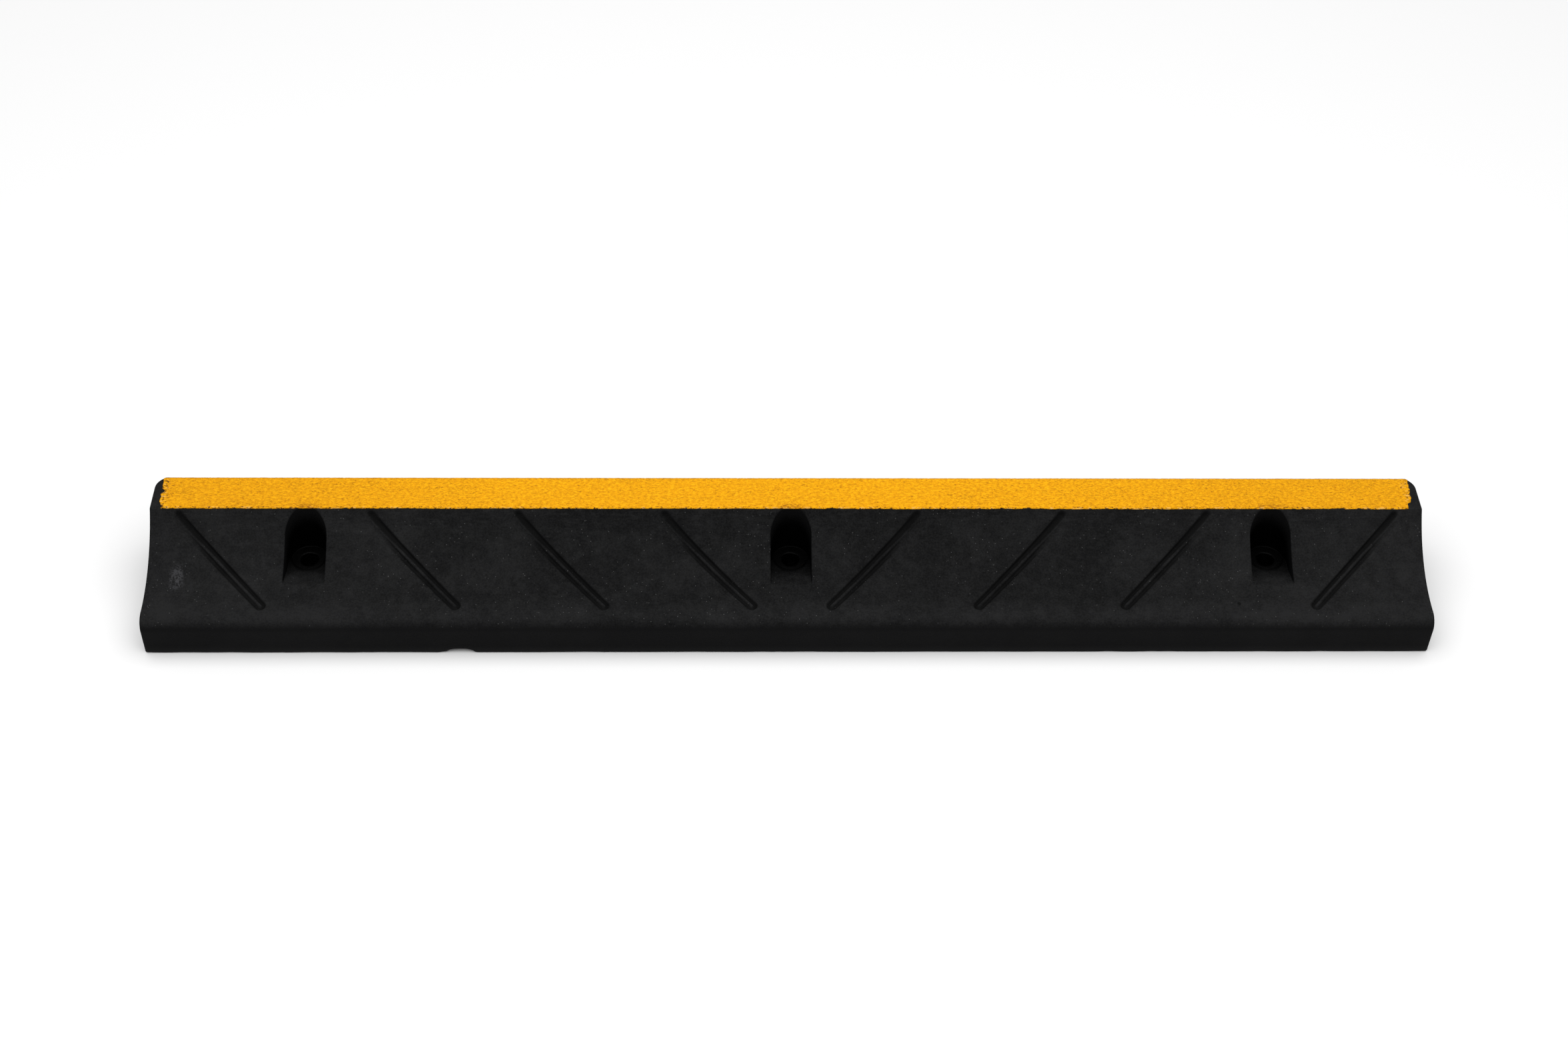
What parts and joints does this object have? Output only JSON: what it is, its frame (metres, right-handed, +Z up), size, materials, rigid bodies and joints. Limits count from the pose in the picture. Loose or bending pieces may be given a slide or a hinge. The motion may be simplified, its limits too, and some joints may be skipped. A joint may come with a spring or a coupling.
{
  "type": "parking wheel stop",
  "caption": "Low rubber wheel stop bar with a concave sloping front, diagonal ribbed marks, recessed bolt holes and a yellow strip along its flat top.",
  "frame": {"origin": "centre of the base on the ground plane, halfway along the bar and halfway between toe and back", "axes": "+X along the bar, to the right for someone facing the sloping front; -Y out of the sloping front, towards the tyre; +Z up"},
  "size_m": [1, 0.123, 0.072],
  "materials": {
    "black_rubber": "matt moulded rubber, grey with dust and scuffs",
    "yellow_coating": "coarse matt yellow coating, chipped along its edges"
  },
  "bodies": {
    "root": {"rubber_body": "black_rubber", "yellow_top_strip": "yellow_coating"}
  },
  "joints": []
}
